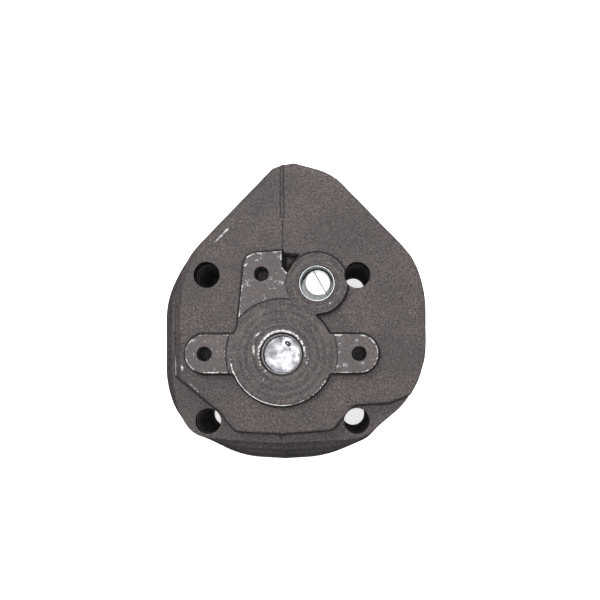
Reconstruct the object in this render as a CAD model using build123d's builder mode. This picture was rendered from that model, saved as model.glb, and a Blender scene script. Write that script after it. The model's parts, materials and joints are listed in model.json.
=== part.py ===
from build123d import *
import os

os.makedirs("parts", exist_ok=True)

# Air-cooled cylinder head of a small reciprocating compressor, with an inlet valve under the
# central port and a delivery valve under the side port.
# Millimetres. Origin: centre of the four stud holes on the gasket face. +Z points out of the
# port face, +Y towards the pointed end of the head, +X towards the wide side.

# Heights above the gasket face
port_plate_top = 47.6
port_plate_bottom = 44.2
collar_bottom = 40.8
boss_top = 49.1
side_boss_top = 49.0
lug_top = 49.8
fin_thickness = 2.0
fin_gap = 1.8
fin_count = 8
fin_pitch = fin_thickness + fin_gap
gasket_flange_top = collar_bottom - fin_count * fin_pitch - fin_gap
chamber_height = 8.0
chamber_radius = 22.0
chamber_arc_middle = (14.0, 5.6)
boss_root = port_plate_top - 0.5

# Studs
stud_spacing_x = 52.0
stud_spacing_y = 50.7
stud_hole_radius = 4.5
flange_margin = 9.5

# Inlet side, on the central port axis
inlet_x = 0.0
inlet_y = -2.1
boss_radius = 17.8
spotface_radius = 19.3
inlet_valve_bore = 10.0
inlet_bush_outer = 7.2
inlet_thread_radius = 6.33
inlet_bush_top = 48.8
inlet_seat_z = 42.1
inlet_flange_thickness = 1.5
inlet_disc_radius = 7.8
inlet_disc_thickness = 1.0
inlet_lift = 1.5
cage_guide_radius = 8.2
cage_inner_radius = 7.1
cage_outer_radius = 9.95
cage_bottom = 33.4
cage_floor = 1.2
cage_scallop_radius = 2.1
cage_scallop_circle = 7.0
cage_floor_hole_radius = 1.5
cage_floor_hole_circle = 6.6
cage_centre_hole_radius = 2.2
snap_ring_thickness = 1.0
snap_ring_width = 1.75
snap_ring_gap = 5.0
ring_groove_depth = 0.9
punch_mark_offset = (1.8, 3.9)
punch_mark_radius = 1.0
punch_mark_depth = 0.4
inlet_wire = 0.8
inlet_spring_radius = 4.1
inlet_spring_turns = 4

# Delivery side, on the side port axis
delivery_x = 12.1
delivery_y = 22.3
side_boss_radius = 10.5
delivery_bore = 6.15
delivery_passage = 4.2
delivery_thread_radius = 5.46
delivery_relief_radius = 5.75
delivery_bush_top = 48.6
delivery_thread_end = 44.0
delivery_ledge = 29.1
delivery_wall = 2.9
recess_radius = 5.2
recess_length = 14.0
recess_width = 8.0
recess_depth = 5.0
recess_angle = 61.5
recess_middle = 0.68
washer_thickness = 1.0
seat_thickness = 4.7
seat_port_radius = 0.75
seat_port_circle = 3.1
seat_port_count = 6
delivery_plate_thickness = 0.8
delivery_plate_radius = 4.4
plate_clearance = 0.2
delivery_lift = 1.2
stop_offset = (0.22, 0.86)
stop_shoulder_radius = 2.9
stop_shank_radius = 2.0
stop_head_radius = 4.5
stop_head_top = 43.5
stop_head_height = 2.2
slot_width = 1.5
slot_depth = 1.2
slot_angle = -60.0
stop_edge_round = 0.4
delivery_wire = 0.6
delivery_spring_radius = 3.7
delivery_spring_turns = 4

# Flange lugs: hole centres and the tapped holes
left_lug = (-26.5, -2.0)
right_lug = (26.6, -1.9)
top_lug = (-6.9, 25.4)
lug_radius = 6.7
lug_hole_radius = 2.1
lug_hole_depth = 9.0
lug_countersink_radius = 2.9

# Top lug of the inlet flange, from its lower left corner round the parting step
top_lug_points = [(-15.0, 9.0), (-12.9, 32.4), (0.1, 33.4), (0.1, 27.9), (6.5, 22.0), (2.0, 9.0)]
top_lug_rounds = [0.5, 4.0, 0.4, 0.5, 0.5, 0.5]

# Cast pocket between the top lug, the parting line and the side boss
pocket_points = [(0.1, 33.2), (6.6, 32.6), (5.0, 30.4), (2.8, 27.2), (2.2, 25.6), (0.1, 27.4)]
pocket_depth = 2.6

# Shared small sizes
core_radius = 26.5
edge_round = 0.9
seat_gap = 0.02
push_fit = 0.05
cutter_clearance = 0.3
cutter_height = 5.0


def inset(points, left, bottom):
    """Fin outline points moved in: the left edges by left, the lower edges by bottom."""
    return [(x + left * pull_x, y + bottom * pull_y) for x, y, pull_x, pull_y in points]


# Fin outline, clockwise from the lower end of its left side. The last two numbers of a point say
# how much of the left and of the bottom inset it takes. An inset below zero makes a fuller fin.
fin_points = [
    (-42.7, -12.1, 1.0, 0.0),
    (-42.7, 18.6, 1.0, 0.0),
    (-36.0, 32.8, 0.9, 0.0),
    (-5.4, 64.8, 0.7, -0.2),
    (4.0, 66.1, 0.2, -0.5),
    (13.5, 61.0, 0.0, 0.0),
    (43.0, 33.3, 0.0, 0.0),
    (48.9, 19.1, 0.0, 0.0),
    (48.9, -5.1, 0.0, 0.0),
    (44.0, -18.7, 0.1, 0.1),
    (29.9, -32.8, -0.3, 0.2),
    (16.6, -39.1, 1.0, 1.0),
    (0.0, -40.0, 0.0, 1.0),
    (-16.6, -39.1, -0.5, 1.0),
    (-31.9, -31.4, 0.2, 0.1),
    (-39.6, -23.3, 0.7, 0.1),
]
fin_corner_rounds = [
    34.0, 31.0, 39.0, 3.0, 2.0, 13.0, 32.0, 35.0, 37.0, 23.0, 11.0, 39.0, 0.4, 35.0, 10.0, 20.0,
]
# Insets from the left and from the bottom: the stack widens from the port face downwards
lower_fin_inset = (-1.6, -0.4)
fin_insets = [
    lower_fin_inset,
    lower_fin_inset,
    lower_fin_inset,
    lower_fin_inset,
    lower_fin_inset,
    (0.1, 1.2),
    (1.7, 3.4),
    (3.5, 5.9),
]
collar_inset = (4.2, 6.9)

# Port-face plate, clockwise from the lower end of its left side
plate_points = [
    (-37.3, -9.3),
    (-37.3, 20.1),
    (-32.8, 32.5),
    (-3.4, 62.9),
    (4.0, 64.2),
    (17.3, 60.7),
    (45.8, 31.5),
    (49.8, 19.1),
    (49.8, -3.1),
    (47.3, -11.2),
    (44.5, -16.2),
    (37.0, -19.0),
    (24.6, -19.7),
    (17.6, -28.4),
    (0.0, -29.7),
    (-16.2, -28.9),
    (-21.4, -22.4),
    (-33.8, -12.0),
]
plate_corner_rounds = [
    0.0, 34.0, 28.0, 0.0, 3.0, 20.0, 25.0, 38.0, 25.0, 20.0, 0.8, 5.0, 4.0, 4.0, 0.6, 4.0, 4.0, 4.0,
]
plate_slope = 2.5

# Neck of solid metal between the fins, from the core towards the pointed end
neck_centre = (2.0, 34.0)
neck_width = 26.0
neck_length = 34.0
neck_corner = 8.0

# Ends of the sloped and of the rounded part of the port plate's rim
slope_right_end = plate_points[3][0]
slope_lower_end = plate_points[0][1]
round_left_end = 5.0
round_lower_end = -18.0

stud_places = GridLocations(stud_spacing_x, stud_spacing_y, 2, 2)
inlet_centre = (inlet_x, inlet_y)
delivery_centre = (delivery_x, delivery_y)
# the seat's middle thread, and so the screw, plate and spring, stand a little off the port's axis
stop_centre = (delivery_x + stop_offset[0], delivery_y + stop_offset[1])

with BuildPart() as head_casting:
    # gasket flange round the studs
    with BuildSketch():
        RectangleRounded(
            stud_spacing_x + 2 * flange_margin, stud_spacing_y + 2 * flange_margin, flange_margin
        )
    extrude(amount=gasket_flange_top)
    # solid core and neck that carry the fins
    with BuildSketch(Plane.XY.offset(gasket_flange_top)):
        Circle(core_radius)
        with Locations(neck_centre):
            RectangleRounded(neck_width, neck_length, neck_corner)
        with Locations(delivery_centre):
            Circle(delivery_bore + delivery_wall)
    extrude(amount=port_plate_bottom - gasket_flange_top)
    # cooling fins
    for level in range(fin_count):
        left_inset, lower_inset = fin_insets[level]
        fin_bottom = gasket_flange_top + fin_gap + level * fin_pitch
        with BuildSketch(Plane.XY.offset(fin_bottom)):
            with BuildLine():
                outline = inset(fin_points, left_inset, lower_inset)
                FilletPolyline(*outline, radius=fin_corner_rounds, close=True)
            make_face()
        extrude(amount=fin_thickness)
    # collar directly under the port plate
    with BuildSketch(Plane.XY.offset(collar_bottom)):
        with BuildLine():
            outline = inset(fin_points, *collar_inset)
            FilletPolyline(*outline, radius=fin_corner_rounds, close=True)
        make_face()
    extrude(amount=port_plate_bottom - collar_bottom)
    # port plate
    with BuildSketch(Plane.XY.offset(port_plate_bottom)):
        with BuildLine():
            FilletPolyline(*plate_points, radius=plate_corner_rounds, close=True)
        make_face()
    extrude(amount=port_plate_top - port_plate_bottom)
    # the left side of the plate slopes down to the collar, and the rest of its rim is rounded
    plate_rim = head_casting.faces().filter_by(Axis.Z).sort_by(Axis.Z)[-1].outer_wire().edges()
    left_rim = plate_rim.filter_by(lambda edge: (edge @ 0.5).X < slope_right_end)
    sloped_rim = left_rim.filter_by(lambda edge: (edge @ 0.5).Y > slope_lower_end)
    chamfer(sloped_rim, plate_slope)
    plate_rim = head_casting.faces().filter_by(Axis.Z).sort_by(Axis.Z)[-1].outer_wire().edges()
    right_rim = plate_rim.filter_by(lambda edge: (edge @ 0.5).X > round_left_end)
    round_rim = right_rim.filter_by(lambda edge: (edge @ 0.5).Y > round_lower_end)
    fillet(round_rim, edge_round)
    # lugs of the inlet flange, cut back by the central spotface
    with BuildSketch(Plane.XY.offset(boss_root)):
        with Locations(left_lug, right_lug):
            Circle(lug_radius)
        with Locations(((left_lug[0] + inlet_x) / 2, left_lug[1])):
            Rectangle(abs(left_lug[0]), 2 * lug_radius)
        with Locations(((right_lug[0] + inlet_x) / 2, right_lug[1])):
            Rectangle(right_lug[0], 2 * lug_radius)
        with BuildLine():
            FilletPolyline(*top_lug_points, radius=top_lug_rounds, close=True)
        make_face()
    extrude(amount=lug_top - boss_root)
    with BuildSketch(Plane.XY.offset(boss_top)):
        with Locations(inlet_centre):
            Circle(spotface_radius)
    extrude(amount=cutter_height, mode=Mode.SUBTRACT)
    with BuildSketch(Plane.XY.offset(side_boss_top)):
        with Locations(delivery_centre):
            Circle(side_boss_radius + cutter_clearance)
    extrude(amount=cutter_height, mode=Mode.SUBTRACT)
    # round bosses of the two ports
    with BuildSketch(Plane.XY.offset(boss_root)):
        with Locations(inlet_centre):
            Circle(boss_radius)
    extrude(amount=boss_top - boss_root)
    with BuildSketch(Plane.XY.offset(boss_root)):
        with Locations(delivery_centre):
            Circle(side_boss_radius)
    extrude(amount=side_boss_top - boss_root)
    # cast pocket between the top lug, the parting line and the side boss
    with BuildSketch(Plane.XY.offset(port_plate_top)):
        with BuildLine():
            Polyline(*pocket_points, close=True)
        make_face()
    extrude(amount=-pocket_depth, mode=Mode.SUBTRACT)
    # chamber: a shallow dome under the valves
    with BuildSketch(Plane.XZ):
        with BuildLine():
            ThreePointArc((0, chamber_height), chamber_arc_middle, (chamber_radius, 0))
            Line((chamber_radius, 0), (0, 0))
            Line((0, 0), (0, chamber_height))
        make_face()
    revolve(axis=Axis.Z, mode=Mode.SUBTRACT)
    # recess that leads from the chamber to the delivery passage
    with BuildSketch():
        with Locations(delivery_centre):
            Circle(recess_radius)
        with Locations(Location((delivery_x * recess_middle, delivery_y * recess_middle), recess_angle)):
            Rectangle(recess_length, recess_width)
    extrude(amount=recess_depth, mode=Mode.SUBTRACT)
    # inlet bores
    with BuildSketch():
        with Locations(inlet_centre):
            Circle(inlet_valve_bore)
    extrude(amount=inlet_seat_z + inlet_flange_thickness, mode=Mode.SUBTRACT)
    with BuildSketch():
        with Locations(inlet_centre):
            Circle(inlet_bush_outer)
    extrude(amount=boss_top, mode=Mode.SUBTRACT)
    with BuildSketch(Plane.XY.offset(cage_bottom - snap_ring_thickness)):
        with Locations(inlet_centre):
            Circle(inlet_valve_bore + ring_groove_depth)
    extrude(amount=snap_ring_thickness, mode=Mode.SUBTRACT)
    # delivery bores
    with BuildSketch():
        with Locations(delivery_centre):
            Circle(delivery_passage)
    extrude(amount=side_boss_top, mode=Mode.SUBTRACT)
    with BuildSketch(Plane.XY.offset(delivery_ledge)):
        with Locations(delivery_centre):
            Circle(delivery_bore)
    extrude(amount=side_boss_top - delivery_ledge, mode=Mode.SUBTRACT)
    # stud holes right through
    with BuildSketch():
        with stud_places:
            Circle(stud_hole_radius)
    extrude(amount=lug_top, mode=Mode.SUBTRACT)
    # tapped lug holes with countersunk mouths
    with Locations(*[(x, y, lug_top) for x, y in (left_lug, right_lug, top_lug)]):
        CounterSinkHole(lug_hole_radius, lug_countersink_radius, depth=lug_hole_depth, counter_sink_angle=90)
head_casting.part.label = "head_casting"
export_step(head_casting.part, "parts/head_casting.step")

with BuildPart() as inlet_seat_bush:
    with BuildSketch(Plane.XY.offset(inlet_seat_z)):
        with Locations(inlet_centre):
            Circle(inlet_valve_bore - push_fit)
    extrude(amount=inlet_flange_thickness)
    with BuildSketch(Plane.XY.offset(inlet_seat_z)):
        with Locations(inlet_centre):
            Circle(inlet_bush_outer)
    extrude(amount=inlet_bush_top - inlet_seat_z)
    with BuildSketch(Plane.XY.offset(inlet_seat_z)):
        with Locations(inlet_centre):
            Circle(inlet_thread_radius)
    extrude(amount=inlet_bush_top - inlet_seat_z, mode=Mode.SUBTRACT)
inlet_seat_bush.part.label = "inlet_seat_bush"
export_step(inlet_seat_bush.part, "parts/inlet_seat_bush.step")

disc_bottom = inlet_seat_z - inlet_disc_thickness

with BuildPart() as inlet_valve_disc:
    with BuildSketch(Plane.XY.offset(disc_bottom)):
        with Locations(inlet_centre):
            Circle(inlet_disc_radius)
    extrude(amount=inlet_disc_thickness - seat_gap)
    # punch mark on the port side, off centre
    mark_x, mark_y = punch_mark_offset
    with Locations((inlet_x + mark_x, inlet_y + mark_y, inlet_seat_z - seat_gap)):
        Hole(punch_mark_radius, depth=punch_mark_depth)
inlet_valve_disc.part.label = "inlet_valve_disc"
export_step(inlet_valve_disc.part, "parts/inlet_valve_disc.step")

stop_ledge = disc_bottom - inlet_lift
cage_floor_top = cage_bottom + cage_floor

with BuildPart() as inlet_valve_cage:
    with BuildSketch(Plane.XY.offset(cage_bottom)):
        with Locations(inlet_centre):
            Circle(cage_outer_radius)
    extrude(amount=inlet_seat_z - cage_bottom)
    with BuildSketch(Plane.XY.offset(cage_floor_top)):
        with Locations(inlet_centre):
            Circle(cage_inner_radius)
    extrude(amount=inlet_seat_z - cage_floor_top, mode=Mode.SUBTRACT)
    with BuildSketch(Plane.XY.offset(stop_ledge)):
        with Locations(inlet_centre):
            Circle(cage_guide_radius)
    extrude(amount=inlet_seat_z - stop_ledge, mode=Mode.SUBTRACT)
    # flow scallops past the disc and holes in the floor
    with BuildSketch(Plane.XY.offset(cage_floor_top)):
        with Locations(inlet_centre):
            with PolarLocations(cage_scallop_circle, 4, 45):
                Circle(cage_scallop_radius)
    extrude(amount=inlet_seat_z - cage_floor_top, mode=Mode.SUBTRACT)
    with BuildSketch(Plane.XY.offset(cage_bottom)):
        with Locations(inlet_centre):
            with PolarLocations(cage_floor_hole_circle, 8):
                Circle(cage_floor_hole_radius)
            Circle(cage_centre_hole_radius)
    extrude(amount=cage_floor, mode=Mode.SUBTRACT)
inlet_valve_cage.part.label = "inlet_valve_cage"
export_step(inlet_valve_cage.part, "parts/inlet_valve_cage.step")

inlet_spring_length = disc_bottom - cage_floor_top

with BuildPart() as inlet_valve_spring:
    with BuildLine():
        inlet_coil = Helix(
            pitch=(inlet_spring_length - inlet_wire) / inlet_spring_turns,
            height=inlet_spring_length - inlet_wire,
            radius=inlet_spring_radius,
            center=(inlet_x, inlet_y, cage_floor_top + inlet_wire / 2),
        )
    with BuildSketch(Plane(origin=inlet_coil @ 0, z_dir=inlet_coil % 0)):
        Circle(inlet_wire / 2)
    sweep(is_frenet=True)
inlet_valve_spring.part.label = "inlet_valve_spring"
export_step(inlet_valve_spring.part, "parts/inlet_valve_spring.step")

with BuildPart() as cage_snap_ring:
    with BuildSketch(Plane.XY.offset(cage_bottom - snap_ring_thickness)):
        with Locations(inlet_centre):
            Circle(inlet_valve_bore + ring_groove_depth - push_fit)
            Circle(inlet_valve_bore + ring_groove_depth - snap_ring_width, mode=Mode.SUBTRACT)
        with Locations((inlet_x, inlet_y - inlet_valve_bore)):
            Rectangle(snap_ring_gap, 2 * snap_ring_width + 1.0, mode=Mode.SUBTRACT)
    extrude(amount=snap_ring_thickness)
cage_snap_ring.part.label = "cage_snap_ring"
export_step(cage_snap_ring.part, "parts/cage_snap_ring.step")

seat_bottom = delivery_ledge + washer_thickness
seat_top = seat_bottom + seat_thickness

with BuildPart() as delivery_port_bush:
    with BuildSketch(Plane.XY.offset(seat_top)):
        with Locations(delivery_centre):
            Circle(delivery_bore)
            Circle(delivery_thread_radius, mode=Mode.SUBTRACT)
    extrude(amount=delivery_bush_top - seat_top)
    with BuildSketch(Plane.XY.offset(seat_top)):
        with Locations(delivery_centre):
            Circle(delivery_relief_radius)
    extrude(amount=delivery_thread_end - seat_top, mode=Mode.SUBTRACT)
delivery_port_bush.part.label = "delivery_port_bush"
export_step(delivery_port_bush.part, "parts/delivery_port_bush.step")

with BuildPart() as delivery_seat_washer:
    with BuildSketch(Plane.XY.offset(delivery_ledge)):
        with Locations(delivery_centre):
            Circle(delivery_bore - 2 * push_fit)
            Circle(delivery_passage + cutter_clearance, mode=Mode.SUBTRACT)
    extrude(amount=washer_thickness)
delivery_seat_washer.part.label = "delivery_seat_washer"
export_step(delivery_seat_washer.part, "parts/delivery_seat_washer.step")

with BuildPart() as delivery_seat:
    with BuildSketch(Plane.XY.offset(seat_bottom)):
        with Locations(delivery_centre):
            Circle(delivery_bore - push_fit)
        with Locations(stop_centre):
            Circle(stop_shank_radius, mode=Mode.SUBTRACT)
            with PolarLocations(seat_port_circle, seat_port_count):
                Circle(seat_port_radius, mode=Mode.SUBTRACT)
    extrude(amount=seat_thickness)
delivery_seat.part.label = "delivery_seat"
export_step(delivery_seat.part, "parts/delivery_seat.step")

plate_bottom = seat_top + seat_gap
plate_top = plate_bottom + delivery_plate_thickness

with BuildPart() as delivery_valve_plate:
    with BuildSketch(Plane.XY.offset(plate_bottom)):
        with Locations(stop_centre):
            Circle(delivery_plate_radius)
            Circle(stop_shank_radius + plate_clearance, mode=Mode.SUBTRACT)
    extrude(amount=delivery_plate_thickness)
delivery_valve_plate.part.label = "delivery_valve_plate"
export_step(delivery_valve_plate.part, "parts/delivery_valve_plate.step")

head_underside = stop_head_top - stop_head_height
shoulder_bottom = plate_top + delivery_lift

with BuildPart() as delivery_stop_screw:
    with BuildSketch(Plane.XY.offset(seat_bottom)):
        with Locations(stop_centre):
            Circle(stop_shank_radius)
    extrude(amount=head_underside - seat_bottom)
    with BuildSketch(Plane.XY.offset(shoulder_bottom)):
        with Locations(stop_centre):
            Circle(stop_shoulder_radius)
    extrude(amount=head_underside - shoulder_bottom)
    with BuildSketch(Plane.XY.offset(head_underside)):
        with Locations(stop_centre):
            Circle(stop_head_radius)
    extrude(amount=stop_head_height)
    rim = delivery_stop_screw.edges().filter_by(GeomType.CIRCLE).sort_by(Axis.Z)[-1]
    fillet(rim, stop_edge_round)
    with BuildSketch(Plane.XY.offset(stop_head_top)):
        with Locations(Location(stop_centre, slot_angle)):
            Rectangle(3 * stop_head_radius, slot_width)
    extrude(amount=-slot_depth, mode=Mode.SUBTRACT)
delivery_stop_screw.part.label = "delivery_stop_screw"
export_step(delivery_stop_screw.part, "parts/delivery_stop_screw.step")

delivery_spring_length = head_underside - plate_top

with BuildPart() as delivery_valve_spring:
    with BuildLine():
        delivery_coil = Helix(
            pitch=(delivery_spring_length - delivery_wire) / delivery_spring_turns,
            height=delivery_spring_length - delivery_wire,
            radius=delivery_spring_radius,
            center=(*stop_centre, plate_top + delivery_wire / 2),
        )
    with BuildSketch(Plane(origin=delivery_coil @ 0, z_dir=delivery_coil % 0)):
        Circle(delivery_wire / 2)
    sweep(is_frenet=True)
delivery_valve_spring.part.label = "delivery_valve_spring"
export_step(delivery_valve_spring.part, "parts/delivery_valve_spring.step")
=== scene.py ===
import json
from math import cos, pi, radians, sin, tau

import bmesh
import bpy
import numpy as np
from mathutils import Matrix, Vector


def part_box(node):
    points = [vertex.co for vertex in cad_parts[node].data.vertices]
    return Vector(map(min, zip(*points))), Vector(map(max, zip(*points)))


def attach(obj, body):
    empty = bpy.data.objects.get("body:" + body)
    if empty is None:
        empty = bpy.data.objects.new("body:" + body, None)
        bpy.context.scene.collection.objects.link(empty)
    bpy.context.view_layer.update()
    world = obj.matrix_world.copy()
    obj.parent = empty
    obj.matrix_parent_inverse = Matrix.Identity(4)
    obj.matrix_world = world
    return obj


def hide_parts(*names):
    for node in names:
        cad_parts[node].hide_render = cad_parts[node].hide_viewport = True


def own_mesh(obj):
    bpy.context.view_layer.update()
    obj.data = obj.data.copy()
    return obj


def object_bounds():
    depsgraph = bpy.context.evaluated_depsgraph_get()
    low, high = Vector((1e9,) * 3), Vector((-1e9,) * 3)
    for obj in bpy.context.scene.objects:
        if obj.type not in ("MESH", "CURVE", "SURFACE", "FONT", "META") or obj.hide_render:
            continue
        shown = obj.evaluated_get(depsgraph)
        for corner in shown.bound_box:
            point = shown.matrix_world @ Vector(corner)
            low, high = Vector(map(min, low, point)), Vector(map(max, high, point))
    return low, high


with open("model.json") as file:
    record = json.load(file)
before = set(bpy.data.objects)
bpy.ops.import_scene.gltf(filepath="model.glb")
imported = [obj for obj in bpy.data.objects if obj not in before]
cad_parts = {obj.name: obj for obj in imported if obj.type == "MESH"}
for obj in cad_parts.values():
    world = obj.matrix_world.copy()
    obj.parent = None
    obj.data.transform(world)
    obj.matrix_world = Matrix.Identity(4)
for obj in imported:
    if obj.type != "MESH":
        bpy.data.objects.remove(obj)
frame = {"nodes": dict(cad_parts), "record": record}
cad_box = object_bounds()
nodes = frame["nodes"]
mounts = {m["name"]: m for m in frame["record"]["mounts"]}

# ----------------------------------------------------------------
# Camera, lights and table top. The camera looks straight down on the port face from a quarter of
# a metre, with its axis a little to the lower right of the ports, as one holds it over a bench.
casting_low, casting_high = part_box("head_casting")
plate_face = casting_high.z - 0.0022
camera_height = 0.256
camera_x = 0.0166
camera_y = -0.0075
picture_width = 0.207

camera_data = bpy.data.cameras.new("bench_camera")
camera_data.sensor_width = 36.0
camera_data.lens = camera_data.sensor_width * camera_height / picture_width
camera_data.shift_x = -0.05
camera_data.shift_y = 0.1167
camera_data.clip_start = 0.01
camera = bpy.data.objects.new("bench_camera", camera_data)
camera.location = (camera_x, camera_y, plate_face + camera_height)
bpy.context.scene.collection.objects.link(camera)
bpy.context.scene.camera = camera


def soft_light(name, place, size, watts):
    """A square soft box at place that faces the head."""
    data = bpy.data.lights.new(name, "AREA")
    data.shape = "SQUARE"
    data.size = size
    data.energy = watts
    lamp = bpy.data.objects.new(name, data)
    lamp.location = place
    facing = Vector((0, 0, casting_high.z)) - Vector(place)
    lamp.rotation_euler = facing.to_track_quat("-Z", "Y").to_euler()
    bpy.context.scene.collection.objects.link(lamp)


soft_light("key_box", (-0.42, 0.50, 0.52), 0.25, 5.0)
soft_light("top_box", (0.04, -0.04, 0.80), 0.50, 3.6)
soft_light("fill_box", (0.60, -0.25, 0.52), 0.60, 1.6)
soft_light("back_box", (0.10, 0.80, 0.36), 0.40, 2.6)

# The room is pale above the bench and dim below it.
world = bpy.data.worlds.new("pale_studio")
world.use_nodes = True
room = world.node_tree
around = room.nodes.new("ShaderNodeTexCoord")
height_of = room.nodes.new("ShaderNodeSeparateXYZ")
dimming = room.nodes.new("ShaderNodeMapRange")
for name, number in (("From Min", -0.25), ("From Max", 0.20), ("To Min", 0.10), ("To Max", 0.36)):
    dimming.inputs[name].default_value = number
room.links.new(around.outputs["Generated"], height_of.inputs["Vector"])
room.links.new(height_of.outputs["Z"], dimming.inputs["Value"])
room.links.new(dimming.outputs["Result"], room.nodes["Background"].inputs["Strength"])
room.nodes["Background"].inputs["Color"].default_value = (0.97, 0.97, 1.0, 1.0)
bpy.context.scene.world = world
bpy.context.scene.view_settings.view_transform = "Standard"

floor_mesh = bpy.data.meshes.new("table_top")
floor_half = 1.6
floor_z = casting_low.z - 0.0002
floor_mesh.from_pydata(
    [(x * floor_half, y * floor_half, floor_z) for x, y in ((-1, -1), (1, -1), (1, 1), (-1, 1))],
    [], [(0, 1, 2, 3)],
)
table_top = bpy.data.objects.new("table_top", floor_mesh)
table_top.visible_diffuse = False
table_top.visible_glossy = False
bpy.context.scene.collection.objects.link(table_top)
table_paint = bpy.data.materials.new("table_paper")
table_paint.use_nodes = True
paper = table_paint.node_tree.nodes["Principled BSDF"].inputs
paper["Base Color"].default_value = (0.93, 0.93, 0.93, 1)
paper["Roughness"].default_value = 0.9
paper["Emission Color"].default_value = (1, 1, 1, 1)
paper["Emission Strength"].default_value = 0.75
floor_mesh.materials.append(table_paint)

# ----------------------------------------------------------------
# Upper casting: the port plate, the collar under it, the bosses and the lugs. Grey iron cast in
# sand, blasted and phosphated: a soft-edged blank first, then every face and hole is cut crisp.
inlet_axis = mounts["inlet_thread"]["pos_m"][:2]
delivery_axis = mounts["delivery_thread"]["pos_m"][:2]
left_hole = mounts["left_lug_thread"]["pos_m"][:2]
right_hole = mounts["right_lug_thread"]["pos_m"][:2]
top_hole = mounts["top_lug_thread"]["pos_m"][:2]
plate_underside = plate_face - 0.0034
collar_underside = plate_face - 0.0068
lug_face = casting_high.z
boss_face = casting_high.z - 0.0007
side_boss_face = casting_high.z - 0.0008
boss_radius = 0.0178
side_boss_radius = 0.0105
lug_radius = 0.0067
top_lug_outline = [
    (-0.0150, 0.0030), (0.0080, 0.0030), (0.0080, 0.0200), (0.0010, 0.0268), (0.0001, 0.0280),
    (0.0001, 0.0334), (-0.0095, 0.0327), (-0.0118, 0.0316), (-0.0130, 0.0292), (-0.0150, 0.0090),
]
top_lug_round_edges = [1, 5, 6, 7, 8]
top_lug_hollow_edges = [2, 3, 4]


class Recipe:
    """A short way to write a finish: every call adds one node and returns its output."""

    def __init__(self, name, metallic):
        self.material = bpy.data.materials.new(name)
        self.material.use_nodes = True
        self.tree = self.material.node_tree
        self.shader = self.tree.nodes["Principled BSDF"]
        self.shader.inputs["Metallic"].default_value = metallic
        self.place = self.tree.nodes.new("ShaderNodeTexCoord").outputs["Object"]

    def link(self, value, socket):
        if isinstance(value, bpy.types.NodeSocket):
            self.tree.links.new(value, socket)
        else:
            socket.default_value = value

    def shift(self, centre, turn=0.0, stretch=(1, 1, 1)):
        node = self.tree.nodes.new("ShaderNodeMapping")
        node.vector_type = "TEXTURE"
        node.inputs["Location"].default_value = (centre[0], centre[1], 0.0)
        node.inputs["Rotation"].default_value = (0, 0, turn)
        node.inputs["Scale"].default_value = stretch
        self.tree.links.new(self.place, node.inputs["Vector"])
        return node.outputs["Vector"]

    def noise(self, size, detail=2.0, rough=0.5, vector=None):
        """Noise whose blobs are about size metres across."""
        node = self.tree.nodes.new("ShaderNodeTexNoise")
        node.inputs["Scale"].default_value = 1.0 / size
        node.inputs["Detail"].default_value = detail
        node.inputs["Roughness"].default_value = rough
        self.tree.links.new(vector or self.place, node.inputs["Vector"])
        return node.outputs["Fac"]

    def math(self, operation, a, b=0.0, c=0.0):
        node = self.tree.nodes.new("ShaderNodeMath")
        node.operation = operation
        for value, socket in zip((a, b, c), node.inputs):
            self.link(value, socket)
        return node.outputs[0]

    def ramp(self, value, low, high, low_out=0.0, high_out=1.0):
        """Goes smoothly from low_out to high_out while value goes from low to high."""
        node = self.tree.nodes.new("ShaderNodeMapRange")
        node.interpolation_type = "SMOOTHSTEP"
        ends = (("From Min", low), ("From Max", high), ("To Min", low_out), ("To Max", high_out))
        for name, number in ends:
            node.inputs[name].default_value = number
        self.tree.links.new(value, node.inputs["Value"])
        return node.outputs["Result"]

    def mix(self, amount, a, b):
        node = self.tree.nodes.new("ShaderNodeMix")
        node.data_type = "RGBA"
        self.link(amount, node.inputs["Factor"])
        self.link(a if isinstance(a, bpy.types.NodeSocket) else (*a, 1.0), node.inputs["A"])
        self.link(b if isinstance(b, bpy.types.NodeSocket) else (*b, 1.0), node.inputs["B"])
        return node.outputs["Result"]

    def split(self, vector=None):
        node = self.tree.nodes.new("ShaderNodeSeparateXYZ")
        self.tree.links.new(vector or self.place, node.inputs["Vector"])
        return node.outputs["X"], node.outputs["Y"], node.outputs["Z"]

    def attribute(self, name):
        node = self.tree.nodes.new("ShaderNodeAttribute")
        node.attribute_name = name
        return node.outputs["Fac"]

    def hypotenuse(self, x, y):
        squares = self.math("ADD", self.math("MULTIPLY", x, x), self.math("MULTIPLY", y, y))
        return self.math("SQRT", squares)

    def radius(self, centre):
        """Distance from an upright axis, in metres."""
        x, y, z = self.split(self.shift(centre))
        return self.hypotenuse(x, y)

    def lean(self, centre, angle):
        """How far a place lies from an upright axis towards the given angle, in metres."""
        return self.split(self.shift(centre, radians(angle)))[0]

    def spot(self, centre, size, turn=0.0, core=0.0):
        """1 at centre, falling smoothly to 0 at size metres away along x and y, turned by turn."""
        x, y, z = self.split(self.shift(centre, turn, (*size, 1.0)))
        return self.ramp(self.hypotenuse(x, y), core, 1.0, 1.0, 0.0)

    def times(self, *values):
        product = values[0]
        for value in values[1:]:
            product = self.math("MULTIPLY", product, value)
        return product

    def bump(self, height, distance, strength=1.0, under=None):
        node = self.tree.nodes.new("ShaderNodeBump")
        node.inputs["Distance"].default_value = distance
        node.inputs["Strength"].default_value = strength
        self.tree.links.new(height, node.inputs["Height"])
        if under is not None:
            self.tree.links.new(under, node.inputs["Normal"])
        return node.outputs["Normal"]

    def finish(self, color, roughness, normal):
        self.link(color, self.shader.inputs["Base Color"])
        self.link(roughness, self.shader.inputs["Roughness"])
        self.link(normal, self.shader.inputs["Normal"])
        return self.material


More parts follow.
